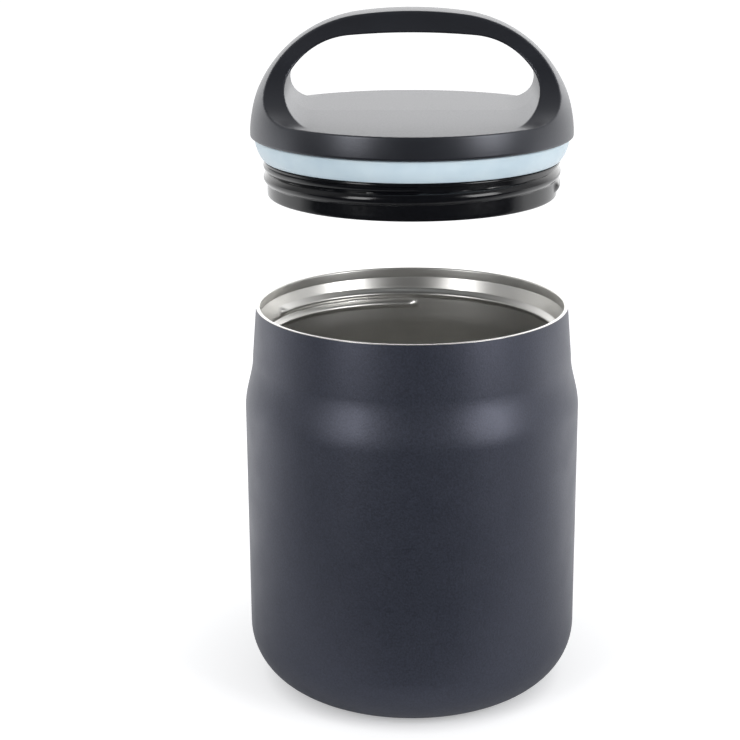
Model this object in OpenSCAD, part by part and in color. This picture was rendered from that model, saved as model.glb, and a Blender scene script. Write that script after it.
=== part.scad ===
// Insulated food jar with a screw-in stopper lid that has an arched carrying handle.
// The lid is drawn lifted off, straight above the open jar. Millimetres, +Z up,
// origin on the jar's axis in the plane that it stands on. The handle spans along X.

/* [Jar] */
// Outer diameter of the body
body_d = 96; // [90:1:104]
// Height of the open jar, floor to rim
jar_h = 113; // [104:1:124]
// Outer diameter of the neck at the rim
rim_d = 88.8; // [87:0.2:89.6]
// Radius of the rounded lower edge
base_edge_r = 17; // [12:1:20]
// Sheet thickness of the outer shell
shell_t = 0.6; // [0.5:0.1:0.8]
// Sheet thickness of the inner liner
liner_t = 0.5; // [0.4:0.1:0.6]
// Empty space between the shell and the liner
vacuum_gap = 3.3; // [2.6:0.1:3.6]

/* [Lid] */
// Diameter of the lid's skirt
skirt_d = 89.6; // [89:0.2:90.4]
// Height of the lid above the lower edge of its skirt
lid_h = 34.3; // [32:0.1:38]
// Height of the flat top between the handle's feet
deck_h = 6.2; // [5.6:0.1:7]
// Width of the handle strap at its crown
strap_w = 12.6; // [10:0.2:16]
// Thickness of the handle strap at its crown
strap_t = 5.9; // [5:0.1:7]
// Radius of the hollow that runs from the strap's faces down to the flat top
scoop_r = 25; // [22:1:26]
// Depth of the stopper below the skirt
stopper_h = 16.3; // [15:0.1:18]
// Diameter of the stopper's barrel at the root of its thread
stopper_d = 80.8; // [80:0.2:81]

/* [Position of the lid] */
// Gap between the rim and the skirt with the lid lifted off
lid_gap = 48.5; // [44:0.5:60]

/* [Hidden] */
$fn = 96;

// Colours
charcoal = [0.20, 0.22, 0.25];
steel = [0.74, 0.74, 0.72];
copper = [0.78, 0.50, 0.36];
lid_black = [0.12, 0.13, 0.14];
stopper_black = [0.05, 0.05, 0.06];
seal_pale = [0.82, 0.89, 0.92];
foam_white = [0.93, 0.93, 0.90];

// Jar, derived from the sizes above
body_r = body_d / 2;
rim_r = rim_d / 2;
neck_h = 14.5;                       // conical part of the neck, below the rim
neck_r = rim_r + 1.2;                // outer radius where the neck meets the shoulder
shoulder_h = 15;                     // height of the S-shaped shoulder
foot_r = body_r - base_edge_r;       // outer radius of the flat foot ring
foot_w = 3.5;                        // width of the foot ring
recess_r = foot_r - foot_w;          // radius of the recess under the jar
recess_h = 3.2;                      // height of the recess's wall
liner_r = body_r - shell_t - vacuum_gap - liner_t;   // inner radius of the liner
liner_floor = 7;                     // height of the liner's floor
liner_edge_r = 14;                   // rounded edge inside, at the floor
mouth_r = rim_r - shell_t - liner_t + 0.1;           // inner radius at the rim
mouth_seat_h = 5;                    // conical seat for the seal, below the rim
bore_r = 42.1;                       // inner radius of the neck, at the thread's root
bore_h = neck_h;                     // the bore ends this far below the rim

// Lid, derived from the sizes above
skirt_z = jar_h + lid_gap;           // lower edge of the skirt
skirt_r = skirt_d / 2;
skirt_t = 2.2;
deck_t = 2.4;
crown_r = 110;                       // the dome's crown, seen from the front
shoulder_r = 36;                     // the dome's shoulder
shoulder_x = 9.3;                    // the shoulder arc's centre, off the axis
grip_top = lid_h - strap_t;          // upper edge of the finger opening
grip_crown_r = 200;                  // radius of its upper edge
grip_upper_r = 21.2;                 // radius of its upper corners
grip_upper_x = 15.3;
grip_lower_r = 7.5;                  // radius of its lower corners
stopper_r = stopper_d / 2;
stopper_wall = 1.8;
stopper_floor = 2;
stopper_edge = 1.2;                  // chamfer at the lower edge
seal_h = 6;
seal_gap = 0.3;                      // room between the seal and its neighbours
seal_in_r = stopper_r + 0.4;
seal_flange_h = 0.9;                 // flange that holds the seal up
disc_h = 10;                         // insulation disc in the stopper's cavity
disc_play = 0.4;

// Vacuum parts
foil_t = 0.2;
plate_t = 0.6;
port_r = 1.5;                        // hole that the air is drawn out through
getter_r = 3;
getter_h = 1.5;
getter_x = 14;                       // the getter's place, off the axis

// Points of an arc from angle a0 to a1
function arc(cx, cy, r, a0, a1, steps) =
    [for (i = [0 : steps]) let (a = a0 + (a1 - a0) * i / steps)
        [cx + r * cos(a), cy + r * sin(a)]];

// Points of an S-curve between two radii, level with the axis at both ends
function s_curve(r0, z0, r1, z1, steps) =
    [for (i = [0 : steps]) let (u = i / steps)
        [r0 + (r1 - r0) * (1 - cos(180 * u)) / 2, z0 + (z1 - z0) * u]];

// Outline of the jar's outside, moved inwards by inset: half section, foot to rim
function shell_outline(inset) = concat(
    arc(foot_r, base_edge_r, base_edge_r - inset, -90, 0, 14),
    s_curve(body_r - inset, jar_h - neck_h - shoulder_h,
            neck_r - inset, jar_h - neck_h, 10),
    [[rim_r - inset, jar_h]]);

// Outline of the liner's inside, moved outwards by outset: floor to rim
function liner_outline(outset) = concat(
    arc(liner_r - liner_edge_r, liner_floor + liner_edge_r, liner_edge_r + outset, -90, 0, 12),
    s_curve(liner_r + outset, jar_h - bore_h - shoulder_h,
            bore_r + outset, jar_h - bore_h, 10),
    [[bore_r + outset, jar_h - mouth_seat_h], [mouth_r + outset, jar_h]]);

// ---- Jar ----

module outer_shell() {
    color(charcoal) rotate_extrude() union() {
        difference() {
            polygon(concat([[recess_r, 0]], shell_outline(0), [[recess_r, jar_h]]));
            polygon(concat([[recess_r - 1, shell_t]], shell_outline(shell_t),
                           [[rim_r - shell_t, jar_h + 1], [recess_r - 1, jar_h + 1]]));
        }
        translate([recess_r, 0]) square([shell_t, recess_h]);
    }
}

// One drawn piece: its lip is turned out to the shell's rim, where the two are welded
module inner_liner() {
    lip_t = rim_r - shell_t - mouth_r;
    color(steel) rotate_extrude() difference() {
        polygon(concat([[0, liner_floor - liner_t]], liner_outline(liner_t),
                       [[mouth_r + lip_t, jar_h], [0, jar_h]]));
        polygon(concat([[-1, liner_floor]], liner_outline(0),
                       [[mouth_r, jar_h + 1], [-1, jar_h + 1]]));
    }
}

// Foil wrapped round the liner's straight wall, inside the vacuum
module radiation_foil() {
    foil_r = liner_r + liner_t + 0.1;
    foil_z = liner_floor + liner_edge_r;
    color(copper) translate([0, 0, foil_z]) difference() {
        cylinder(r = foil_r + foil_t, h = jar_h - neck_h - shoulder_h - foil_z);
        translate([0, 0, -1]) cylinder(r = foil_r, h = jar_h);
    }
}

module vacuum_base() {
    color(steel) translate([0, 0, recess_h - plate_t]) difference() {
        cylinder(r = recess_r, h = plate_t);
        translate([0, 0, -1]) cylinder(r = port_r, h = plate_t + 2);
    }
}

// Drop of solder that closes the port once the air is out
module seal_off_bead() {
    color(steel) translate([0, 0, recess_h - plate_t]) {
        cylinder(r = port_r, h = plate_t);
        translate([0, 0, -0.3]) cylinder(r = port_r + 0.7, h = 0.3);
    }
}

// Pressed cup that holds the getter against the base plate
module getter_clip() {
    wall = 0.4;
    color(steel) translate([getter_x, 0, recess_h]) difference() {
        union() {
            cylinder(r = getter_r + 1.5, h = wall);
            cylinder(r = getter_r + wall + 0.1, h = getter_h + wall + 0.1);
        }
        translate([0, 0, -1]) cylinder(r = getter_r + 0.1, h = getter_h + 1.1);
        cylinder(r = 1.2, h = getter_h + 2);
    }
}

module getter_pellet() {
    color([0.45, 0.45, 0.47]) translate([getter_x, 0, recess_h])
        cylinder(r = getter_r, h = getter_h);
}

// Plate pressed into the recess, under the sealed port
module base_cover() {
    cover_z = 1;
    color(steel) translate([0, 0, cover_z])
        cylinder(r = recess_r - 0.1, h = plate_t);
}

// ---- Lid ----

// Half section of the dome: straight skirt, shoulder arc and crown arc
function dome_outline() =
    let (crown_z = lid_h - crown_r,
         shoulder_z = crown_z + sqrt(pow(crown_r - shoulder_r, 2) - pow(shoulder_x, 2)),
         meet_a = atan2(shoulder_z - crown_z, shoulder_x),
         skirt_a = acos((skirt_r - shoulder_x) / shoulder_r))
    concat([[skirt_r, 0]],
           arc(shoulder_x, shoulder_z, shoulder_r, skirt_a, meet_a, 16),
           arc(0, crown_z, crown_r, meet_a + 2, 90, 3));

// Half of the finger opening, seen from the front: crown, upper and lower corner
function grip_outline() =
    let (crown_z = grip_top - grip_crown_r,
         upper_z = crown_z + sqrt(pow(grip_crown_r - grip_upper_r, 2) - pow(grip_upper_x, 2)),
         lower_z = deck_h + grip_lower_r,
         span = grip_upper_r - grip_lower_r,
         lower_x = grip_upper_x + sqrt(pow(span, 2) - pow(lower_z - upper_z, 2)),
         upper_a = atan2(upper_z - crown_z, grip_upper_x),
         lower_a = atan2(lower_z - upper_z, lower_x - grip_upper_x))
    concat([[0, grip_top]],
           arc(grip_upper_x, upper_z, grip_upper_r, upper_a, lower_a, 10),
           arc(lower_x, lower_z, grip_lower_r, lower_a - 8, -90, 9),
           [[0, deck_h]]);

// Finger opening, cut right through along Y
module grip_cut() {
    rotate([90, 0, 0]) linear_extrude(2 * skirt_d, center = true) union() {
        polygon(grip_outline());
        mirror([1, 0]) polygon(grip_outline());
    }
}

// Hollow in front of the strap: a wall that sweeps out in one arc to the flat top
module scoop_cut() {
    face_y = strap_w / 2;
    rotate([90, 0, 90]) linear_extrude(2 * skirt_d, center = true) difference() {
        translate([face_y, deck_h]) square([skirt_d, lid_h]);
        difference() {
            translate([face_y - 1, deck_h - 1]) square([scoop_r + 1, scoop_r + 1]);
            translate([face_y + scoop_r, deck_h + scoop_r]) circle(r = scoop_r);
        }
    }
}

// Skirt, flat top and handle, moulded in one piece
module lid_cover() {
    color(lid_black) translate([0, 0, skirt_z]) difference() {
        rotate_extrude() polygon(concat([[0, 0]], dome_outline()));
        grip_cut();
        scoop_cut();
        mirror([0, 1, 0]) scoop_cut();
        translate([0, 0, -1]) cylinder(r = skirt_r - skirt_t, h = deck_h - deck_t + 1);
    }
}

// Hollow plug that screws into the neck. Its rim is welded to the cover.
module lid_stopper() {
    seal_low = -seal_gap - seal_h;
    outline = [[0, -stopper_h], [stopper_r - stopper_edge, -stopper_h],
               [stopper_r, -stopper_h + stopper_edge],
               [stopper_r, seal_low - seal_gap - seal_flange_h],
               [stopper_r + 0.8, seal_low - seal_gap - 0.8 * seal_flange_h],
               [stopper_r + 0.8, seal_low - seal_gap],
               [stopper_r, seal_low - seal_gap],
               [stopper_r, deck_h - deck_t], [0, deck_h - deck_t]];
    color(stopper_black) translate([0, 0, skirt_z]) difference() {
        rotate_extrude() polygon(outline);
        translate([0, 0, stopper_floor - stopper_h])
            cylinder(r = stopper_r - stopper_wall, h = stopper_h + deck_h);
    }
}

module insulation_disc() {
    disc_z = stopper_floor - stopper_h + disc_play;
    color(foam_white) translate([0, 0, skirt_z + disc_z])
        cylinder(r = stopper_r - stopper_wall - disc_play, h = disc_h);
}

// Seal with a bulging outside that narrows towards the stopper
module seal_ring() {
    bulge_r = 9.5;
    top_r = skirt_r - 0.8;
    color(seal_pale) translate([0, 0, skirt_z - seal_gap])
        rotate_extrude() polygon(concat(
            [[seal_in_r, -seal_h], [seal_in_r, 0]],
            arc(top_r - bulge_r, 0, bulge_r, 0, -asin(seal_h / bulge_r), 6)));
}

outer_shell();
inner_liner();
radiation_foil();
vacuum_base();
seal_off_bead();
getter_clip();
getter_pellet();
base_cover();
lid_cover();
lid_stopper();
insulation_disc();
seal_ring();
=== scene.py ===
"""Insulated food jar with its screw-in stopper lid held above it, for Blender 4.5.

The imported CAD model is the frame. The pieces that show are made here again with their threads, rolled edges
and rounded corners, and every piece gets a procedural material. Sizes are in millimetres until make_object.
"""

import logging
import math
from collections.abc import Callable
from dataclasses import dataclass, field
from enum import Enum

import bmesh
import bpy
import numpy as np
from mathutils import Matrix, Vector


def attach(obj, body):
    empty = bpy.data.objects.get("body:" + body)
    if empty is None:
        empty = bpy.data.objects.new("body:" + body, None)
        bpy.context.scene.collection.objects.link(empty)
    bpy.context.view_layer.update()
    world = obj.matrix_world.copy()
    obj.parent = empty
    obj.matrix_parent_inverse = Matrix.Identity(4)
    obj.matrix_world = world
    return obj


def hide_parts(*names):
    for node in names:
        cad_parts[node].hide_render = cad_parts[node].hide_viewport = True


LOG = logging.getLogger("food_jar")
MM = 0.001
FULL_TURN = 2 * math.pi
# Keeps a division from meeting a zero
TINY = 1e-9
# One part of a rounded corner turns by about this much, in radians
CORNER_STEP = 0.35
WHITE = (1.0, 1.0, 1.0, 1.0)

Point = tuple[float, float]
Corner = tuple[float, float, float]
Sloped = tuple[np.ndarray, np.ndarray]
Tree = bpy.types.NodeTree
Node = bpy.types.Node
Socket = bpy.types.NodeSocket
Material = bpy.types.Material

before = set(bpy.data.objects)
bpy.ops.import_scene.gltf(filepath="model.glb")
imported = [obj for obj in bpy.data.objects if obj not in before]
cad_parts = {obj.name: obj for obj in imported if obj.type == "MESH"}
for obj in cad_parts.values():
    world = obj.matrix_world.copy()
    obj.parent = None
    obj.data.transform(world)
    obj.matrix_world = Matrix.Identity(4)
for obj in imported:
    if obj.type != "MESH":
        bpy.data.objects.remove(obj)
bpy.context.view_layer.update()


class Body(Enum):
    """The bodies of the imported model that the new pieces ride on."""

    JAR = "jar"
    SEAL = "seal"
    LID = "lid"


class Slot(Enum):
    """The record's material slots of the new pieces."""

    POWDER_COAT = "powder_coat"
    BARE_STEEL = "bare_steel"
    COVER_PLASTIC = "cover_plastic"
    STOPPER_PLASTIC = "stopper_plastic"
    SILICONE = "silicone"


# ---- Materials ----


def linear(code: str) -> tuple[float, float, float, float]:
    """Turns an sRGB hex colour into Blender's linear one.

    Args:
        code: the colour as "#rrggbb".

    Returns:
        Red, green, blue and an alpha of 1.
    """
    parts = (int(code[i : i + 2], 16) / 255 for i in (1, 3, 5))
    red, green, blue = (c / 12.92 if c <= 0.04045 else ((c + 0.055) / 1.055) ** 2.4 for c in parts)
    return red, green, blue, 1.0


def add_node(tree: Tree, kind: str, inputs: dict | None = None, **settings: object) -> Node:
    """Adds a node to a tree with its settings, values and links.

    Args:
        tree: the node tree.
        kind: the node's type, such as "ShaderNodeBump".
        inputs: a value, or the output socket to link, for each input by name or number.
        settings: the node's own properties.

    Returns:
        The new node.
    """
    node = tree.nodes.new(kind)
    for name, value in settings.items():
        setattr(node, name, value)
    for name, value in (inputs or {}).items():
        if isinstance(value, Socket):
            tree.links.new(value, node.inputs[name])
        else:
            node.inputs[name].default_value = value
    return node


@dataclass(frozen=True)
class Ramp:
    """A level that changes from first to last while something goes from start to end."""

    start: float
    end: float
    first: float
    last: float
    smooth: bool = True

    @property
    def interpolation(self) -> str:
        """The name of the change's shape: eased at both ends, or straight."""
        return "SMOOTHSTEP" if self.smooth else "LINEAR"

    def inputs(self, value: Socket) -> dict[str, float | Socket]:
        """Gives the inputs of a Map Range node.

        Args:
            value: what the level depends on.

        Returns:
            The value or socket for each input by name.
        """
        return {"Value": value, "From Min": self.start, "From Max": self.end,
                "To Min": self.first, "To Max": self.last}


class Kind(Enum):
    """What a texture is made of: soft noise, or cells with their outlines."""

    NOISE = "ShaderNodeTexNoise"
    CELLS = "ShaderNodeTexVoronoi"


@dataclass(frozen=True)
class Texture:
    """A pattern whose features are about size millimetres apart. Rates slow its change along X, Y and Z."""

    size: float
    detail: float = 2.0
    roughness: float = 0.5
    kind: Kind = Kind.NOISE
    rates: Corner | None = None


@dataclass(frozen=True)
class Finish:
    """A surface finish: the values that are the same all over, and what its patterns do.

    The colour is the mean one, for readers that take no pattern. The tone texture takes it from tone_low to
    tone_high, the bump texture raises it by depth millimetres, and the wander texture moves the roughness by
    spread either way. Milk is the share of light that passes in, and goes milk_reach millimetres deep.
    """

    name: str
    colour: str
    roughness: float
    metallic: float = 0.0
    specular: float = 0.5
    tint: str = "#ffffff"
    milk: float = 0.0
    milk_reach: float = 0.0
    tone: Texture = Texture(1.0)
    tone_low: str = "#000000"
    tone_high: str = "#ffffff"
    tone_span: Point = (0.3, 0.7)
    bump: Texture = Texture(1.0)
    depth: float = 0.0
    wander: Texture | None = None
    spread: float = 0.0

    def build(self) -> Material:
        """Makes the material.

        Returns:
            A material whose Principled shader has this finish's values and patterns.
        """
        material = bpy.data.materials.new(self.name)
        material.use_nodes = True
        tree = material.node_tree
        shader = tree.nodes["Principled BSDF"]
        values = {
            "Base Color": linear(self.colour), "Roughness": self.roughness, "Metallic": self.metallic,
            "Specular IOR Level": self.specular, "Specular Tint": linear(self.tint),
            "Subsurface Weight": self.milk, "Subsurface Scale": self.milk_reach * MM,
            "Subsurface Radius": (1.0, 1.0, 1.0)}
        for name, value in values.items():
            shader.inputs[name].default_value = value
        for name, socket in self.patterns(tree).items():
            tree.links.new(socket, shader.inputs[name])
        return material

    def patterns(self, tree: Tree) -> dict[str, Socket]:
        """Adds the textures and what they drive. A texture that drives two things is added once.

        Args:
            tree: the material's tree.

        Returns:
            What goes into the shader, by the input's name.
        """
        place = add_node(tree, "ShaderNodeTexCoord").outputs["Object"]
        drawn = {}
        for texture in dict.fromkeys(filter(None, (self.tone, self.bump, self.wander))):
            spot = place
            if texture.rates:
                slowed = add_node(tree, "ShaderNodeMapping", {"Vector": place, "Scale": texture.rates})
                spot = slowed.outputs["Vector"]
            drawn[texture] = add_node(tree, texture.kind.value, {
                "Vector": spot, "Scale": 1 / (texture.size * MM), "Detail": texture.detail,
                "Roughness": texture.roughness}).outputs[0]
        tones = add_node(tree, "ShaderNodeValToRGB", {"Fac": drawn[self.tone]})
        first, last = tones.color_ramp.elements
        first.position, last.position = self.tone_span
        first.color, last.color = linear(self.tone_low), linear(self.tone_high)
        raised = add_node(tree, "ShaderNodeBump", {"Height": drawn[self.bump], "Distance": self.depth * MM})
        driven = {"Base Color": tones.outputs["Color"], "Normal": raised.outputs["Normal"]}
        if self.wander:
            # A noise seldom leaves 0.25 to 0.75
            span = Ramp(0.25, 0.75, self.roughness - self.spread, self.roughness + self.spread, smooth=False)
            level = add_node(tree, "ShaderNodeMapRange", span.inputs(drawn[self.wander]),
                             interpolation_type=span.interpolation)
            driven["Roughness"] = level.outputs["Result"]
        return driven


@dataclass(frozen=True)
class PowderCoat(Finish):
    """Polyester powder coat, sprayed and baked: a fine pebbled skin, so highlights are soft and grainy."""

    specular: float = 1.0
    tint: str = "#e6e9ff"
    # Pebbles, each with its own tone. Real ones are 0.2 to 0.3 mm apart, too fine to show, so these are
    # coarser
    tone: Texture = Texture(0.55, detail=3.0, roughness=0.6)
    tone_low: str = "#1c1f27"
    tone_high: str = "#2d313d"
    bump: Texture = tone
    depth: float = 0.03
    # The slow patches that a spray leaves
    wander: Texture = Texture(9.0)
    spread: float = 0.03


@dataclass(frozen=True)
class TurnedSteel(Finish):
    """Stainless steel, drawn and polished on a lathe: fine rings round the axis stretch each reflection."""

    # Clouds of cleaning and handling
    tone: Texture = Texture(14.0)
    tone_low: str = "#e2e1de"
    tone_high: str = "#e9e8e5"
    # Noise that changes with the height alone makes rings round the wall. Real polishing lines are under
    # 0.1 mm apart, too fine to show, so these are coarser
    bump: Texture = Texture(0.35, rates=(0.02, 0.02, 1.0))
    depth: float = 0.0004
    wander: Texture = bump
    spread: float = 0.04


@dataclass(frozen=True)
class GrainedPlastic(Finish):
    """Polypropylene moulded against a spark-eroded steel: a fine even grain gives it a satin look."""

    specular: float = 0.9
    tint: str = "#f0f3ff"
    # The faint mottling of a dyed moulding
    tone: Texture = Texture(12.0)
    tone_low: str = "#18191e"
    tone_high: str = "#1d1f24"
    # The mould's grain. A real one is 0.1 to 0.2 mm wide, too fine to show, so this one is coarser
    bump: Texture = Texture(0.45)
    depth: float = 0.012
    wander: Texture = bump
    spread: float = 0.03


@dataclass(frozen=True)
class PolishedPlastic(Finish):
    """Polypropylene moulded against a polished steel: glossy, with the slight waves of shrinkage."""

    # The haze of handling
    tone: Texture = Texture(1.2, detail=3.0)
    tone_low: str = "#0a0b0e"
    tone_high: str = "#0e0f13"
    wander: Texture = tone
    spread: float = 0.03
    # The shallow waves
    bump: Texture = Texture(6.0, detail=1.0)
    depth: float = 0.01


@dataclass(frozen=True)
class Silicone(Finish):
    """Food-grade silicone, moulded: milky, with light passing a little way in and a soft skin."""

    milk: float = 0.25
    milk_reach: float = 1.5
    # Milky clouds
    tone: Texture = Texture(7.0)
    tone_low: str = "#c6d9e4"
    tone_high: str = "#d0e1ea"
    # The skin's fine texture
    bump: Texture = Texture(0.6)
    depth: float = 0.01


@dataclass(frozen=True)
class Foam(Finish):
    """Expanded polystyrene, moulded from beads: matt white with the beads' outlines, darker and lower."""

    # A cell's value grows towards its outline
    tone: Texture = Texture(2.5, detail=0.0, kind=Kind.CELLS)
    tone_low: str = "#f2f2ec"
    tone_high: str = "#dcdcd4"
    tone_span: Point = (0.2, 0.8)
    bump: Texture = tone
    depth: float = -0.15


@dataclass(frozen=True)
class WrappedFoil(Finish):
    """Rolled metal foil, wrapped by hand: bright, with the creases of wrapping."""

    # A tarnish
    tone: Texture = Texture(8.0, detail=3.0)
    tone_low: str = "#b0704c"
    tone_high: str = "#dc9a72"
    # The creases
    bump: Texture = Texture(5.0, detail=0.0, kind=Kind.CELLS)
    depth: float = 0.1


@dataclass(frozen=True)
class PressedPowder(Finish):
    """Metal powder pressed into a pellet: dull and granular."""

    # The grit
    tone: Texture = Texture(0.3, detail=4.0)
    tone_low: str = "#5c5c5e"
    tone_high: str = "#86868a"
    bump: Texture = tone
    depth: float = 0.05


# ---- Shapes ----


def arc(centre: Point, radius: float, start: float, end: float, steps: int) -> list[Point]:
    """Gives the points of an arc.

    Args:
        centre: the arc's centre.
        radius: its radius.
        start: the angle of its first point, in degrees.
        end: the angle of its last point.
        steps: how many parts it has.

    Returns:
        The points, first and last included.
    """
    angles = (math.radians(start + (end - start) * i / steps) for i in range(steps + 1))
    return [(centre[0] + radius * math.cos(a), centre[1] + radius * math.sin(a)) for a in angles]


def s_curve(start: Point, end: Point, steps: int) -> list[Point]:
    """Gives an S-curve that leaves and arrives straight up.

    Args:
        start: its first point.
        end: its last point.
        steps: how many parts it has.

    Returns:
        The points, first and last included.
    """
    shares = [i / steps for i in range(steps + 1)]
    return [(start[0] + (end[0] - start[0]) * (1 - math.cos(math.pi * u)) / 2,
             start[1] + (end[1] - start[1]) * u) for u in shares]


def rounded(corners: list[Corner], closed: bool = False) -> list[Point]:
    """Rounds the corners of a line.

    Args:
        corners: each corner's place and its radius, 0 where it stays sharp.
        closed: whether the last corner joins the first.

    Returns:
        The points of the rounded line.
    """
    points: list[Point] = []
    count = len(corners)
    for i, (x, y, radius) in enumerate(corners):
        if radius <= 0 or (not closed and i in (0, count - 1)):
            points.append((x, y))
            continue
        here = Vector((x, y))
        back = (Vector(corners[i - 1][:2]) - here).normalized()
        ahead = (Vector(corners[(i + 1) % count][:2]) - here).normalized()
        half = back.angle(ahead) / 2
        centre = here + (back + ahead).normalized() * (radius / math.sin(half))
        first = here + back * (radius / math.tan(half)) - centre
        sweep = first.angle_signed(here + ahead * (radius / math.tan(half)) - centre)
        steps = max(3, round(abs(sweep) / CORNER_STEP))
        for j in range(steps + 1):
            turned = Matrix.Rotation(-sweep * j / steps, 2) @ first
            points.append(tuple(centre + turned))
    return points


def spun(profile: list[Point], steps: int, closed: bool = True) -> bmesh.types.BMesh:
    """Spins a half section round the Z axis into a closed skin.

    Args:
        profile: the section's points, radius and height, in millimetres.
        steps: how many parts the turn has.
        closed: whether the last point joins the first.

    Returns:
        The mesh, in millimetres, with its faces outwards.
    """
    bm = bmesh.new()
    verts = [bm.verts.new((r, 0, z)) for r, z in profile]
    pairs = list(zip(verts, verts[1:] + verts[:1]))
    edges = [bm.edges.new(pair) for pair in (pairs if closed else pairs[:-1])]
    bmesh.ops.spin(bm, geom=verts + edges, axis=(0, 0, 1), cent=(0, 0, 0), angle=FULL_TURN,
                   steps=steps, use_merge=True)
    bmesh.ops.remove_doubles(bm, verts=bm.verts, dist=1e-4)
    bmesh.ops.dissolve_degenerate(bm, edges=bm.edges, dist=1e-5)
    bmesh.ops.recalc_face_normals(bm, faces=bm.faces)
    return bm


def make_object(name: str, bm: bmesh.types.BMesh, crease: float = 32.0) -> bpy.types.Object:
    """Turns a mesh in millimetres into an object in metres, smooth but for its sharp edges.

    Args:
        name: the object's name.
        bm: the mesh. It is freed.
        crease: the angle between faces, in degrees, from which an edge stays sharp.

    Returns:
        The object, at the origin, unturned and unscaled.
    """
    bmesh.ops.scale(bm, vec=(MM, MM, MM), verts=bm.verts)
    for face in bm.faces:
        face.smooth = True
    for edge in bm.edges:
        edge.smooth = edge.calc_face_angle(0.0) < math.radians(crease)
    mesh = bpy.data.meshes.new(name)
    bm.to_mesh(mesh)
    bm.free()
    obj = bpy.data.objects.new(name, mesh)
    bpy.context.scene.collection.objects.link(obj)
    return obj


@dataclass(frozen=True)
class Thread:
    """A single right-handed ridge that climbs round the axis, with rounded ends."""

    pitch: float
    low_angle: float
    low_z: float
    sweep: float
    height: float
    width: float
    # The lower this power, the broader the crest and the steeper the flanks
    fullness: float
    # The ends rise from the wall over this many degrees
    taper: float = 4.0

    def rise(self, x: float, y: float, z: float) -> float:
        """Says how far the ridge stands out of the wall at a point.

        Args:
            x: the point's place along X, in millimetres.
            y: its place along Y.
            z: its height.

        Returns:
            The height of the ridge there, in millimetres.
        """
        angle = (math.degrees(math.atan2(y, x)) - self.low_angle) % 360
        best = 0.0
        while angle <= self.sweep:
            off = abs(z - self.low_z - self.pitch * angle / 360) / (self.width / 2)
            if off < 1:
                ends = min(1.0, angle / self.taper, (self.sweep - angle) / self.taper)
                flank = 0.5 + 0.5 * math.cos(math.pi * off)
                best = max(best, self.height * math.sin(math.pi / 2 * ends) * flank ** self.fullness)
            angle += 360
        return best

    def press(self, bm: bmesh.types.BMesh, inside: float, outside: float, outwards: bool) -> None:
        """Moves the wall's points out or in by the ridge's height.

        Args:
            bm: the mesh, in millimetres.
            inside: only points at least this far from the axis move.
            outside: only points at most this far from the axis move.
            outwards: whether the ridge stands outwards.
        """
        for vert in bm.verts:
            x, y, z = vert.co
            radius = math.hypot(x, y)
            if inside <= radius <= outside:
                rise = self.rise(x, y, z)
                if rise > 0:
                    scale = (radius + (rise if outwards else -rise)) / radius
                    vert.co.x, vert.co.y = x * scale, y * scale


class Piece:
    """Puts a finished object on its body, dresses it and reports it."""

    @staticmethod
    def finish(obj: bpy.types.Object, body: Body, slot: Slot, material: Material,
               *nodes: str) -> None:
        """Completes a new piece.

        Args:
            obj: the piece.
            body: the body that it rides on.
            slot: its material slot in the record. Not used.
            material: its material.
            nodes: the CAD nodes that it stands for.
        """
        obj.data.materials.append(material)
        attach(obj, body.value)
        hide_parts(*nodes)
        LOG.info("%s: %d faces, rides on %s, stands for %s", obj.name, len(obj.data.polygons),
                 body.value, ", ".join(nodes))

    @staticmethod
    def dress(node: str, material: Material) -> None:
        """Gives a CAD node that stays in view its material.

        Args:
            node: the node's name.
            material: its material.
        """
        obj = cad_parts[node]
        for slot in obj.material_slots:
            slot.material = material
        LOG.info("%s: CAD node with %s", node, material.name)


# ---- Jar ----


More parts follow.
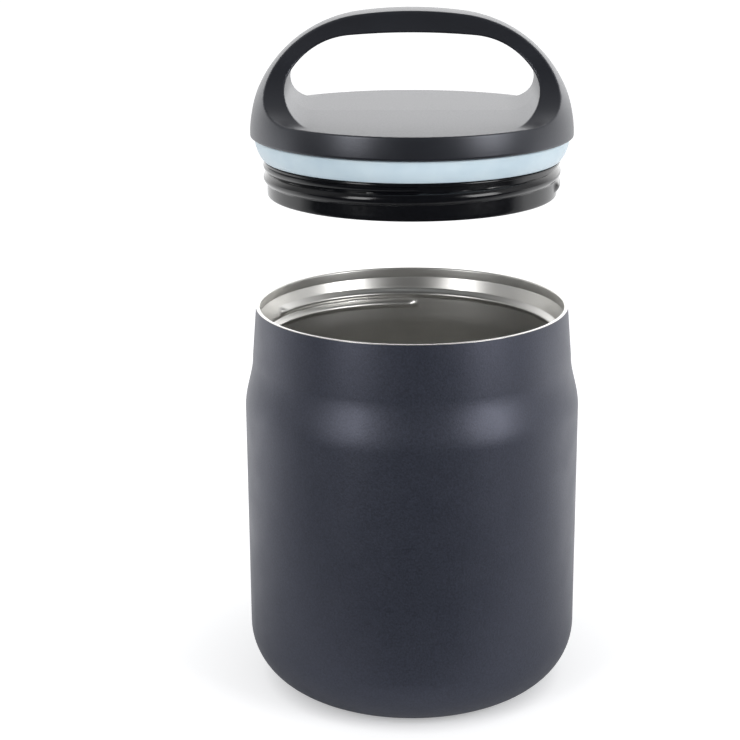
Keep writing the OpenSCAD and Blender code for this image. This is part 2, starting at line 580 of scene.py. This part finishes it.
@dataclass
class Jar:
    """The double-walled steel jar: coated shell, bare liner with the thread, and the plate underneath."""

    body_r: float = 48.0
    height: float = 113.0
    rim_r: float = 44.4
    neck_r: float = 45.6
    neck_z: float = 98.5
    shoulder_z: float = 83.5
    edge_r: float = 17.0
    foot_w: float = 3.5
    foot_edge_r: float = 0.5
    recess_h: float = 3.2
    shell_t: float = 0.6
    liner_t: float = 0.5
    liner_r: float = 43.6
    liner_floor: float = 7.0
    liner_edge_r: float = 14.0
    bore_r: float = 42.1
    funnel_z: float = 104.8
    funnel_power: float = 1.15
    seat_r: float = 43.5
    seat_z: float = 110.0
    seat_edge_r: float = 0.5
    mouth_r: float = 43.25
    mouth_edge_r: float = 0.45
    lip_h: float = 0.14
    lip_edge_r: float = 0.12
    # The lip stops short of the neck's outside, and its wall is a little thinner under the rim
    lip_inset: float = 0.02
    lip_thinning: float = 0.05
    # The even rows that carry the thread start this far above neck_z and end this far below seat_z
    rows_above_neck: float = 0.6
    rows_below_seat: float = 1.2
    plate_z: float = 1.0
    plate_t: float = 0.6
    plate_gap: float = 0.1
    plate_edge_r: float = 0.25
    dish_border: float = 6.0
    dish_slope: float = 1.5
    dish_h: float = 0.45
    dish_edge_r: float = 1.2
    row: float = 0.16
    steps: int = 320
    plate_steps: int = 128
    edge_steps: int = 22
    liner_edge_steps: int = 20
    shoulder_steps: int = 18
    thread: Thread = field(default_factory=lambda: Thread(
        pitch=3.35, low_angle=88, low_z=101.9, sweep=429, height=1.2, width=3.0, fullness=0.6))

    @property
    def recess_r(self) -> float:
        """Radius of the recess under the jar."""
        return self.body_r - self.edge_r - self.foot_w

    @property
    def lip_root_r(self) -> float:
        """Radius of the neck's outside just under the lip, as the neck leans in towards the rim."""
        lean = (self.neck_r - self.rim_r) / (self.height - self.neck_z)
        return self.rim_r + lean * self.lip_h

    def shoulder(self, wall_r: float, neck_r: float) -> list[Point]:
        """Gives the shoulder's curve.

        Args:
            wall_r: the radius at its lower end.
            neck_r: the radius at its upper end.

        Returns:
            The points, from the lower end up.
        """
        return s_curve((wall_r, self.shoulder_z), (neck_r, self.neck_z), self.shoulder_steps)

    def shell(self) -> bpy.types.Object:
        """Builds the coated outer shell.

        Returns:
            The shell: foot ring, rounded lower edge, wall, shoulder and neck, with its own thickness.
        """
        t = self.shell_t
        foot_r = self.body_r - self.edge_r
        centre = (foot_r, self.edge_r)
        top = self.height - self.lip_h
        outside = (rounded([(self.recess_r, self.recess_h, 0), (self.recess_r, 0, self.foot_edge_r),
                            (foot_r, 0, 0)])
                   + arc(centre, self.edge_r, -90, 0, self.edge_steps)[1:]
                   + self.shoulder(self.body_r, self.neck_r)
                   + [(self.lip_root_r, top)])
        inside = ([(self.lip_root_r - t, top)]
                  + self.shoulder(self.body_r - t, self.neck_r - t)[::-1]
                  + arc(centre, self.edge_r - t, 0, -90, self.edge_steps)
                  + [(self.recess_r + t, t), (self.recess_r + t, self.recess_h)])
        return make_object("coated_shell", spun(outside + inside, self.steps))

    def bore(self, z: float) -> float:
        """Gives the neck's inside radius at a height. It widens like a funnel towards the seal's seat.

        Args:
            z: the height, in millimetres.

        Returns:
            The radius there, in millimetres.
        """
        share = max(0.0, z - self.funnel_z) / (self.seat_z - self.funnel_z)
        return self.bore_r + (self.seat_r - self.bore_r) * share ** self.funnel_power

    def liner(self) -> bpy.types.Object:
        """Builds the steel liner with its rolled lip and its thread.

        Returns:
            The liner, from the lip over the rim to the floor, with its own thickness.
        """
        t = self.liner_t
        lip_z = self.height - self.lip_h
        lip_r = self.lip_root_r - self.lip_inset
        edge = (self.liner_r - self.liner_edge_r, self.liner_floor + self.liner_edge_r)
        low, high = self.neck_z + self.rows_above_neck, self.seat_z - self.rows_below_seat
        rows = round((high - low) / self.row)
        wall = [low + (high - low) * i / rows for i in range(rows + 1)]
        mouth = rounded([(self.bore(high), high, 0), (self.seat_r, self.seat_z, self.seat_edge_r),
                         (self.mouth_r, self.height, self.mouth_edge_r),
                         (lip_r, self.height, self.lip_edge_r), (lip_r, lip_z, 0)])
        inside = (arc(edge, self.liner_edge_r, -90, 0, self.liner_edge_steps)
                  + self.shoulder(self.liner_r, self.bore_r)
                  + [(self.bore(z), z) for z in wall] + mouth[1:])
        outside = ([(self.mouth_r + t - self.lip_thinning, lip_z), (self.seat_r + t, self.seat_z)]
                   + [(self.bore(z) + t, z) for z in wall[::-1]]
                   + self.shoulder(self.liner_r + t, self.bore_r + t)[::-1]
                   + arc(edge, self.liner_edge_r + t, 0, -90, self.liner_edge_steps)
                   + [(0, self.liner_floor - t)])
        bm = spun([(0, self.liner_floor)] + inside + outside, self.steps)
        # Both faces of the sheet move, as in a rolled thread
        self.thread.press(bm, self.bore_r - 0.1, self.seat_r, outwards=False)
        return make_object("steel_liner", bm)

    def plate(self) -> bpy.types.Object:
        """Builds the plate under the jar, with the shallow dish that stiffens it.

        Returns:
            The plate, pressed into the recess.
        """
        rim, low, t, rise = self.recess_r - self.plate_gap, self.plate_z, self.plate_t, self.dish_h
        dish = rim - self.dish_border
        flat = dish - self.dish_slope
        bottom = rounded([(0, low + rise, 0), (flat, low + rise, self.dish_edge_r),
                          (dish, low, self.dish_edge_r), (rim, low, self.plate_edge_r), (rim, low + t, 0)])
        top = [(dish, low + t), (flat, low + t + rise), (0, low + t + rise)]
        return make_object("base_plate", spun(bottom + top, self.plate_steps))

    def build(self, coat: Material, steel: Material, nodes: dict[str, Material]) -> None:
        """Builds and dresses the jar.

        Args:
            coat: the powder coat.
            steel: the bare steel.
            nodes: the materials of the CAD nodes inside the jar.
        """
        Piece.finish(self.shell(), Body.JAR, Slot.POWDER_COAT, coat, "outer_shell")
        Piece.finish(self.liner(), Body.JAR, Slot.BARE_STEEL, steel, "inner_liner")
        Piece.finish(self.plate(), Body.JAR, Slot.BARE_STEEL, steel, "base_cover")
        for node, material in nodes.items():
            Piece.dress(node, material)


# ---- Lid ----


@dataclass(frozen=True)
class CoverForm:
    """The moulded cover as a field: below 0 inside the plastic, in millimetres above the skirt's lower edge.

    The cover is a dome less two hollows and the finger opening. The field joins these with rounded edges.
    """

    skirt_r: float = 44.8
    top: float = 34.3
    crown_r: float = 110.0
    shoulder_r: float = 35.0
    shoulder_x: float = 10.4
    deck: float = 6.2
    # The deck falls by gable for each millimetre from the strap's middle, and is at its own height gable_half
    # away from it
    gable: float = 0.01
    gable_half: float = 32.0
    strap_half: float = 6.3
    scoop_r: float = 25.0
    grip_top: float = 28.1
    grip_crown_r: float = 200.0
    # The two arcs of the opening's upper corners: their centres' place and height, and their radius
    grip_upper: Corner = (15.3, 6.244, 21.2)
    grip_lower: Corner = (26.79, 13.7, 7.5)
    cavity_r: float = 42.6
    cavity_h: float = 3.8
    grip_edge_r: float = 0.4
    rim_edge_r: float = 0.45
    skirt_blend_r: float = 9.0
    foot_edge_r: float = 0.35
    cavity_edge_r: float = 0.3

    def dome(self, p: np.ndarray) -> np.ndarray:
        """Gives the distance to the dome: shoulder arc and crown arc.

        Args:
            p: the points, one a row.

        Returns:
            The distances.
        """
        radius, z = np.hypot(p[:, 0], p[:, 1]), p[:, 2]
        crown_z = self.top - self.crown_r
        shoulder_z = crown_z + math.sqrt((self.crown_r - self.shoulder_r) ** 2 - self.shoulder_x ** 2)
        shoulder = np.hypot(radius - self.shoulder_x, z - shoulder_z) - self.shoulder_r
        crown = np.hypot(radius, z - crown_z) - self.crown_r
        # Past the line through both centres the crown's arc takes over
        beyond = (radius * (shoulder_z - crown_z) - self.shoulder_x * (z - crown_z)) < 0
        below = radius - (self.shoulder_x + self.shoulder_r)
        return np.where(z > shoulder_z, np.where(beyond, crown, shoulder), below)

    def skirt(self, p: np.ndarray) -> np.ndarray:
        """Distance to the upright skirt."""
        return np.hypot(p[:, 0], p[:, 1]) - self.skirt_r

    def lifted(self, p: np.ndarray) -> np.ndarray:
        """Height with the gable taken off: the deck falls a little from the strap's middle to both sides."""
        return p[:, 2] + self.gable * (np.abs(p[:, 1]) - self.gable_half)

    def solid_side(self, p: np.ndarray) -> np.ndarray:
        """Gives the distance to the strap and deck between the two hollows, below 0 in the plastic.

        Args:
            p: the points, one a row.

        Returns:
            The distances.
        """
        y, z = np.abs(p[:, 1]), self.lifted(p)
        corner_y, corner_z = self.strap_half + self.scoop_r, self.deck + self.scoop_r
        sweep = self.scoop_r - np.hypot(y - corner_y, z - corner_z)
        straight = np.minimum(y - self.strap_half, z - self.deck)
        return np.where((y < corner_y) & (z < corner_z), sweep, straight)

    def around_grip(self, p: np.ndarray) -> np.ndarray:
        """Gives the distance to what surrounds the finger opening, below 0 in the plastic.

        Args:
            p: the points, one a row.

        Returns:
            The distances.
        """
        x, z = np.abs(p[:, 0]), self.lifted(p)
        (upper_x, upper_z, upper_r), (lower_x, lower_z, lower_r) = self.grip_upper, self.grip_lower
        crown_z = self.grip_top - self.grip_crown_r
        crown = np.hypot(x, z - crown_z) - self.grip_crown_r
        upper = np.hypot(x - upper_x, z - upper_z) - upper_r
        lower = np.hypot(x - lower_x, z - lower_z) - lower_r
        over = (x * (upper_z - crown_z) - upper_x * (z - crown_z)) < 0
        above = ((x - upper_x) * (lower_z - upper_z) - (lower_x - upper_x) * (z - upper_z)) < 0
        roof = np.where(over, crown, np.where(above, upper, lower))
        floor = self.deck - z
        return -np.where(z < lower_z, np.where(x > lower_x, lower, floor), np.maximum(roof, floor))

    def above_cavity(self, p: np.ndarray) -> np.ndarray:
        """Distance to what surrounds the round cavity under the deck, below 0 in the plastic."""
        return -np.maximum(np.hypot(p[:, 0], p[:, 1]) - self.cavity_r, p[:, 2] - self.cavity_h)

    def above_table(self, p: np.ndarray) -> np.ndarray:
        """Distance to what lies above the skirt's lower edge."""
        return -p[:, 2]

    @staticmethod
    def sloped(distance: Callable[[np.ndarray], np.ndarray], p: np.ndarray) -> Sloped:
        """Gives a distance and its slope at some points.

        Args:
            distance: the distance.
            p: the points, one a row.

        Returns:
            The distances, and the slopes with one row for each point.
        """
        small = 0.02
        slopes = [(distance(p + move) - distance(p - move)) / (2 * small) for move in np.eye(3) * small]
        return distance(p), np.stack(slopes, axis=1)

    @staticmethod
    def meet(first: Sloped, second: Sloped, radius: float) -> Sloped:
        """Keeps what lies in both solids, with a rounded edge where they cross.

        Args:
            first: the distances and slopes of one solid.
            second: those of the other.
            radius: the edge's radius. It fades out where the two run the same way.

        Returns:
            The distances and slopes of what both share.
        """
        (a, slope_a), (b, slope_b) = first, second
        r = radius * np.sqrt(np.clip(1 - np.sum(slope_a * slope_b, axis=1), 0, 1))
        over_a, over_b = np.maximum(a + r, 0), np.maximum(b + r, 0)
        reach = np.hypot(over_a, over_b)
        share_a, share_b = ((over / np.maximum(reach, TINY))[:, None] for over in (over_a, over_b))
        nearest = np.where((a > b)[:, None], slope_a, slope_b)
        slope = np.where((reach > TINY)[:, None], share_a * slope_a + share_b * slope_b, nearest)
        return np.minimum(-r, np.maximum(a, b)) + reach, slope

    def whole(self, p: np.ndarray) -> Sloped:
        """Gives the whole cover's distances and slopes at some points.

        Args:
            p: the points, one a row, in millimetres.

        Returns:
            The distances and slopes.
        """
        handle = self.meet(self.sloped(self.solid_side, p), self.sloped(self.around_grip, p),
                           self.grip_edge_r)
        dome = self.meet(self.sloped(self.dome, p), self.sloped(self.skirt, p), self.skirt_blend_r)
        solid = self.meet(dome, handle, self.rim_edge_r)
        skirt = self.meet(solid, self.sloped(self.above_table, p), self.foot_edge_r)
        return self.meet(skirt, self.sloped(self.above_cavity, p), self.cavity_edge_r)


@dataclass
class Lid:
    """The stopper lid: moulded cover with its arched handle, threaded plug and seal."""

    z: float = 161.5
    form: CoverForm = field(default_factory=CoverForm)
    voxel: float = 0.5
    # The cover's points go to its form in so many passes, by a stride at most. The least slope keeps a point
    # where the field is flat from being thrown far
    passes: int = 6
    stride: float = 0.4
    least_slope: float = 0.05
    stopper_r: float = 40.4
    stopper_h: float = 16.6
    stopper_top: float = 3.8
    stopper_wall: float = 1.8
    stopper_floor: float = 2.0
    stopper_edge_r: float = 0.6
    hollow_edge_r: float = 1.0
    # The even rows that carry the thread start this far above the plug's lower end
    rows_above_end: float = 1.4
    flange_r: float = 41.2
    flange_t: float = 0.7
    flange_root: float = 0.9
    flange_low_r: float = 0.2
    flange_edge_r: float = 0.15
    seal_h: float = 6.0
    gap: float = 0.3
    seal_in: float = 40.8
    seal_r: float = 43.6
    seal_bulge: float = 9.5
    seal_back_r: float = 0.3
    seal_top_r: float = 0.35
    seal_low_r: float = 0.4
    seal_steps: int = 16
    seal_crease: float = 50.0
    row: float = 0.16
    steps: int = 320
    thread: Thread = field(default_factory=lambda: Thread(
        pitch=3.35, low_angle=-15, low_z=-13.35, sweep=650, height=1.0, width=3.3, fullness=0.45))

    def cover(self) -> bpy.types.Object:
        """Builds the cover: the CAD's solid in small even faces, drawn onto the rounded form.

        Returns:
            The cover, in one piece with its handle.
        """
        bm = bmesh.new()
        bm.from_mesh(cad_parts["lid_cover"].data)
        bmesh.ops.remove_doubles(bm, verts=bm.verts, dist=1e-6)
        rough = bpy.data.meshes.new("cover_rough")
        bm.to_mesh(rough)
        bm.free()
        obj = bpy.data.objects.new("lid_shell", rough)
        bpy.context.scene.collection.objects.link(obj)
        remesh = obj.modifiers.new("even_faces", "REMESH")
        remesh.mode, remesh.voxel_size = "VOXEL", self.voxel * MM
        even = bpy.data.meshes.new_from_object(obj.evaluated_get(bpy.context.evaluated_depsgraph_get()))
        obj.modifiers.clear()
        obj.data = even
        bpy.data.meshes.remove(rough)
        self.draw_onto_form(even)
        return obj

    def draw_onto_form(self, mesh: bpy.types.Mesh) -> None:
        """Moves a mesh's points onto the cover's form and gives them its normals.

        Args:
            mesh: the mesh, in metres.
        """
        spots = np.empty(len(mesh.vertices) * 3, np.float32)
        mesh.vertices.foreach_get("co", spots)
        p = spots.reshape(-1, 3).astype(float) / MM - (0, 0, self.z)
        for _ in range(self.passes):
            miss, slope = self.form.whole(p)
            steepness = np.maximum(np.sum(slope ** 2, axis=1), self.least_slope)
            step = miss[:, None] * slope / steepness[:, None]
            size = np.linalg.norm(step, axis=1, keepdims=True)
            p -= step * np.minimum(1, self.stride / np.maximum(size, TINY))
        miss, slope = self.form.whole(p)
        normals = slope / np.maximum(np.linalg.norm(slope, axis=1, keepdims=True), TINY)
        mesh.vertices.foreach_set("co", ((p + (0, 0, self.z)) * MM).astype(np.float32).ravel())
        mesh.update()
        mesh.polygons.foreach_set("use_smooth", [True] * len(mesh.polygons))
        mesh.normals_split_custom_set_from_vertices([tuple(n) for n in normals])
        LOG.info("cover: largest miss from its form %.3f mm", float(np.abs(miss).max()))

    def stopper(self) -> bpy.types.Object:
        """Builds the hollow plug with its thread.

        Returns:
            The plug, up to the weld under the cover.
        """
        r, low, top = self.stopper_r, -self.stopper_h, self.stopper_top
        shelf = -self.gap - self.seal_h - self.gap
        foot, head = low + self.rows_above_end, shelf - self.flange_root
        rows = round((head - foot) / self.row)
        wall = [(r, foot + (head - foot) * i / rows) for i in range(rows + 1)]
        flange = rounded([(r, head, 0), (self.flange_r, shelf - self.flange_t, self.flange_low_r),
                          (self.flange_r, shelf, self.flange_edge_r), (r, shelf, self.flange_edge_r),
                          (r, top, 0)])
        outside = rounded([(0, low, 0), (r, low, self.stopper_edge_r), (r, foot, 0)]) + wall[1:] + flange[1:]
        hollow_r, floor = r - self.stopper_wall, low + self.stopper_floor
        inside = rounded([(hollow_r, top, 0), (hollow_r, floor, self.hollow_edge_r), (0, floor, 0)])
        bm = spun(outside + inside, self.steps, closed=False)
        # Only the barrel's outside is as close to its radius as this
        self.thread.press(bm, r - 0.05, r + 0.05, outwards=True)
        bmesh.ops.translate(bm, vec=(0, 0, self.z), verts=bm.verts)
        return make_object("threaded_stopper", bm)

    def seal(self) -> bpy.types.Object:
        """Builds the silicone ring: a flat back and a bulging front that narrows towards the plug.

        Returns:
            The seal.
        """
        top, low = -self.gap, -self.gap - self.seal_h
        centre = (self.seal_r - self.seal_bulge, top)
        end = -math.degrees(math.asin(self.seal_h / self.seal_bulge))
        face = arc(centre, self.seal_bulge, 0, end, self.seal_steps)
        back = [(self.seal_in, low, self.seal_back_r), (self.seal_in, top, self.seal_back_r)]
        # The points next to the face's ends make room for the rounding there
        front = [face[0] + (self.seal_top_r,), *(point + (0.0,) for point in face[2:-2]),
                 face[-1] + (self.seal_low_r,)]
        section = rounded(back + front, closed=True)
        bm = spun(section, self.steps)
        bmesh.ops.translate(bm, vec=(0, 0, self.z), verts=bm.verts)
        return make_object("seal_band", bm, self.seal_crease)

    def build(self, cover: Material, plug: Material, seal: Material, nodes: dict[str, Material]) -> None:
        """Builds and dresses the lid.

        Args:
            cover: the cover's plastic.
            plug: the stopper's plastic.
            seal: the silicone.
            nodes: the materials of the CAD nodes inside the lid.
        """
        Piece.finish(self.cover(), Body.LID, Slot.COVER_PLASTIC, cover, "lid_cover")
        Piece.finish(self.stopper(), Body.LID, Slot.STOPPER_PLASTIC, plug, "lid_stopper")
        Piece.finish(self.seal(), Body.SEAL, Slot.SILICONE, seal, "seal_ring")
        for node, material in nodes.items():
            Piece.dress(node, material)


# ---- Studio ----


@dataclass
class Softbox:
    """A rectangular lamp that faces the middle of the object."""

    name: str
    azimuth: float
    elevation: float
    width: float
    height: float
    radiance: float
    distance: float = 1.1

    def build(self, aim: Vector) -> None:
        """Places the lamp.

        Args:
            aim: the point that it faces, in metres.
        """
        # Azimuth 0 is the camera's side, and grows towards the right
        turn, lift = math.radians(self.azimuth), math.radians(self.elevation)
        way = Vector((math.sin(turn) * math.cos(lift), -math.cos(turn) * math.cos(lift), math.sin(lift)))
        lamp = bpy.data.lights.new(self.name, "AREA")
        lamp.shape, lamp.size, lamp.size_y = "RECTANGLE", self.width, self.height
        # An even lamp of this radiance gives pi times it for each square metre
        lamp.energy = self.radiance * math.pi * self.width * self.height
        obj = bpy.data.objects.new(self.name, lamp)
        obj.location = aim + way * self.distance
        obj.rotation_euler = way.to_track_quat("Z", "Y").to_euler()
        bpy.context.scene.collection.objects.link(obj)


@dataclass
class Studio:
    """A pale floor, a white room that is dark behind the camera, two softboxes and the camera."""

    aim: Vector = field(default_factory=lambda: Vector((0, 0, 0.1)))
    floor_size: float = 6.0
    floor_colour: str = "#e6e7e9"
    floor_dark: float = 0.05
    # In reflections the floor is dark at the camera's side and bright behind, by its Y in metres
    floor_front: Ramp = Ramp(-0.10, -0.055, 1.0, 0.0)
    floor_back: Ramp = Ramp(-0.04, 0.12, 0.0, 0.9)
    # The lift to white is weaker near the jar, by the distance from the axis in metres, which paints a shadow
    # round it. It nearly stops under the rounded edge, a painted contact shadow where the jar stands
    lift: Ramp = Ramp(0.045, 0.11, 0.56, 0.75)
    painted_contact_shadow: Ramp = Ramp(0.031, 0.045, 0.3, 1.0, smooth=False)
    # The room's strength in reflections, by the direction: from the camera's side to the sides, what the
    # back adds, and the shares that the left and the top keep
    room_front: Ramp = Ramp(-0.65, 0.0, 0.03, 0.62)
    room_back: Ramp = Ramp(0.3, 0.9, 0.0, 1.48)
    room_side: Ramp = Ramp(-0.7, 0.3, 0.78, 1.0, smooth=False)
    room_top: Ramp = Ramp(0.5, 0.85, 1.0, 0.55)
    # The room's strength as light on the object
    fill: float = 0.42
    # The camera as fitted to the photograph: lens and sensor, place in metres, degrees down, and the pixel
    # column of the jar's axis
    lens: float = 87.96
    sensor: float = 36.0
    nearest: float = 0.01
    place: Vector = field(default_factory=lambda: Vector((0, -0.5, 0.242)))
    pitch: float = 16.6
    axis_px: float = 412.0
    picture: int = 740
    lamps: list[Softbox] = field(default_factory=lambda: [
        Softbox("softbox_left", azimuth=-41, elevation=17, width=0.34, height=0.78, radiance=5.4),
        Softbox("softbox_right", azimuth=55, elevation=17, width=0.46, height=0.78, radiance=5.6)])

    def seen(self, tree: Tree) -> Socket:
        """Finds whether a ray comes from the camera, or from a mirror or glass.

        Args:
            tree: the tree.

        Returns:
            A socket that is 1 for such a ray.
        """
        path = add_node(tree, "ShaderNodeLightPath").outputs
        mirror = add_node(tree, "ShaderNodeMath", {0: path["Is Camera Ray"], 1: path["Is Glossy Ray"]},
                          operation="MAXIMUM")
        glass = add_node(tree, "ShaderNodeMath", {0: mirror.outputs[0], 1: path["Is Transmission Ray"]},
                         operation="MAXIMUM")
        return glass.outputs[0]

    def floor(self) -> None:
        """Lays the floor: matt and pale, lifted to white where it is seen, with the object's shadow kept and
        a shadow painted round the jar.
        """
        bm = bmesh.new()
        bmesh.ops.create_grid(bm, x_segments=1, y_segments=1, size=self.floor_size / 2 / MM)
        obj = make_object("floor", bm)
        material = bpy.data.materials.new("pale_paper")
        material.use_nodes = True
        tree = material.node_tree
        tree.nodes.remove(tree.nodes["Principled BSDF"])
        place = add_node(tree, "ShaderNodeTexCoord").outputs["Object"]
        depth = add_node(tree, "ShaderNodeSeparateXYZ", {"Vector": place}).outputs["Y"]
        reach = add_node(tree, "ShaderNodeVectorMath", {0: place}, operation="LENGTH").outputs["Value"]
        path = add_node(tree, "ShaderNodeLightPath").outputs
        ramps = ((self.floor_front, depth), (self.floor_back, depth),
                 (self.lift, reach), (self.painted_contact_shadow, reach))
        front, back, lift_with_painted_shadow, under = (
            add_node(tree, "ShaderNodeMapRange", ramp.inputs(value), interpolation_type=ramp.interpolation)
            for ramp, value in ramps)
        shade = add_node(tree, "ShaderNodeMath", {0: front.outputs[0], 1: path["Is Glossy Ray"]},
                         operation="MULTIPLY")
        tone = add_node(tree, "ShaderNodeMix", {
            0: shade.outputs[0], 6: linear(self.floor_colour), 7: (*[self.floor_dark] * 3, 1)},
            data_type="RGBA")
        matt = add_node(tree, "ShaderNodeBsdfDiffuse", {"Color": tone.outputs[2]})
        # The lift is weaker near the jar and nearly stops under its edge: a painted shadow on the floor
        seen = lift_with_painted_shadow
        for share in (under.outputs[0], path["Is Camera Ray"]):
            seen = add_node(tree, "ShaderNodeMath", {0: seen.outputs[0], 1: share}, operation="MULTIPLY")
        mirrored = add_node(tree, "ShaderNodeMath", {0: back.outputs[0], 1: path["Is Glossy Ray"]},
                            operation="MULTIPLY")
        lift = add_node(tree, "ShaderNodeMath", {0: seen.outputs[0], 1: mirrored.outputs[0]})
        glow = add_node(tree, "ShaderNodeEmission", {"Color": WHITE, "Strength": lift.outputs[0]})
        both = add_node(tree, "ShaderNodeAddShader", {0: matt.outputs[0], 1: glow.outputs[0]})
        tree.links.new(both.outputs[0], tree.nodes["Material Output"].inputs["Surface"])
        obj.data.materials.append(material)

    def room(self) -> None:
        """Makes the room: white to the camera, and darker at its side and above in reflections."""
        world = bpy.data.worlds.new("studio_room")
        bpy.context.scene.world = world
        world.use_nodes = True
        tree = world.node_tree
        tree.nodes.clear()
        way = add_node(tree, "ShaderNodeTexCoord").outputs["Generated"]
        parts = add_node(tree, "ShaderNodeSeparateXYZ", {"Vector": way}).outputs
        ramps = zip((self.room_front, self.room_back, self.room_side, self.room_top), "YYXZ")
        front, back, side, top = (
            add_node(tree, "ShaderNodeMapRange", ramp.inputs(parts[axis]),
                     interpolation_type=ramp.interpolation)
            for ramp, axis in ramps)
        room = add_node(tree, "ShaderNodeMath", {0: front.outputs[0], 1: back.outputs[0]})
        for share in (side, top):
            room = add_node(tree, "ShaderNodeMath", {0: room.outputs[0], 1: share.outputs[0]},
                            operation="MULTIPLY")
        path = add_node(tree, "ShaderNodeLightPath").outputs
        shown = add_node(tree, "ShaderNodeMapRange", {
            "Value": path["Is Camera Ray"], "To Min": room.outputs[0], "To Max": 1.0})
        bright = add_node(tree, "ShaderNodeBackground", {"Color": WHITE, "Strength": shown.outputs[0]})
        soft = add_node(tree, "ShaderNodeBackground", {"Color": WHITE, "Strength": self.fill})
        mix = add_node(tree, "ShaderNodeMixShader", {
            "Fac": self.seen(tree), 1: soft.outputs[0], 2: bright.outputs[0]})
        add_node(tree, "ShaderNodeOutputWorld", {"Surface": mix.outputs[0]})

    def camera(self) -> None:
        """Sets the camera: on the jar's centre plane, with a shift for where the axis lies in the picture."""
        lens = bpy.data.cameras.new("camera")
        lens.lens, lens.sensor_width = self.lens, self.sensor
        lens.shift_x = (self.picture / 2 - self.axis_px) / self.picture
        lens.clip_start = self.nearest
        obj = bpy.data.objects.new("camera", lens)
        obj.location = self.place
        obj.rotation_euler = (math.radians(90 - self.pitch), 0, 0)
        bpy.context.scene.collection.objects.link(obj)
        bpy.context.scene.camera = obj

    def build(self) -> None:
        """Builds the studio."""
        self.floor()
        self.room()
        self.camera()
        for lamp in self.lamps:
            lamp.build(self.aim)
        bpy.context.scene.view_settings.view_transform = "Standard"


def main() -> None:
    """Builds the jar, the lid and the studio."""
    logging.basicConfig(level=logging.INFO, format="%(name)s: %(message)s")
    coat = PowderCoat("powder_coated_steel_charcoal", "#252832", roughness=0.44).build()
    steel = TurnedSteel("stainless_steel_polished", "#e6e5e2", roughness=0.36, metallic=1.0).build()
    copper = WrappedFoil("copper_foil_wrapped", "#c8845c", roughness=0.25, metallic=1.0).build()
    getter = PressedPowder("getter_powder_pressed", "#707074", roughness=0.8, metallic=0.6).build()
    foam = Foam("polystyrene_foam_moulded", "#eaeae4", roughness=0.9).build()
    satin = GrainedPlastic("polypropylene_satin_black", "#1a1c21", roughness=0.37).build()
    gloss = PolishedPlastic("polypropylene_gloss_black", "#0f1013", roughness=0.16).build()
    silicone = Silicone("silicone_milky_blue", "#cbdde7", roughness=0.38).build()
    Studio().build()
    Jar().build(coat, steel, {"radiation_foil": copper, "vacuum_base": steel, "seal_off_bead": steel,
                              "getter_clip": steel, "getter_pellet": getter})
    Lid().build(satin, gloss, silicone, {"insulation_disc": foam})


if __name__ == "__main__":
    main()
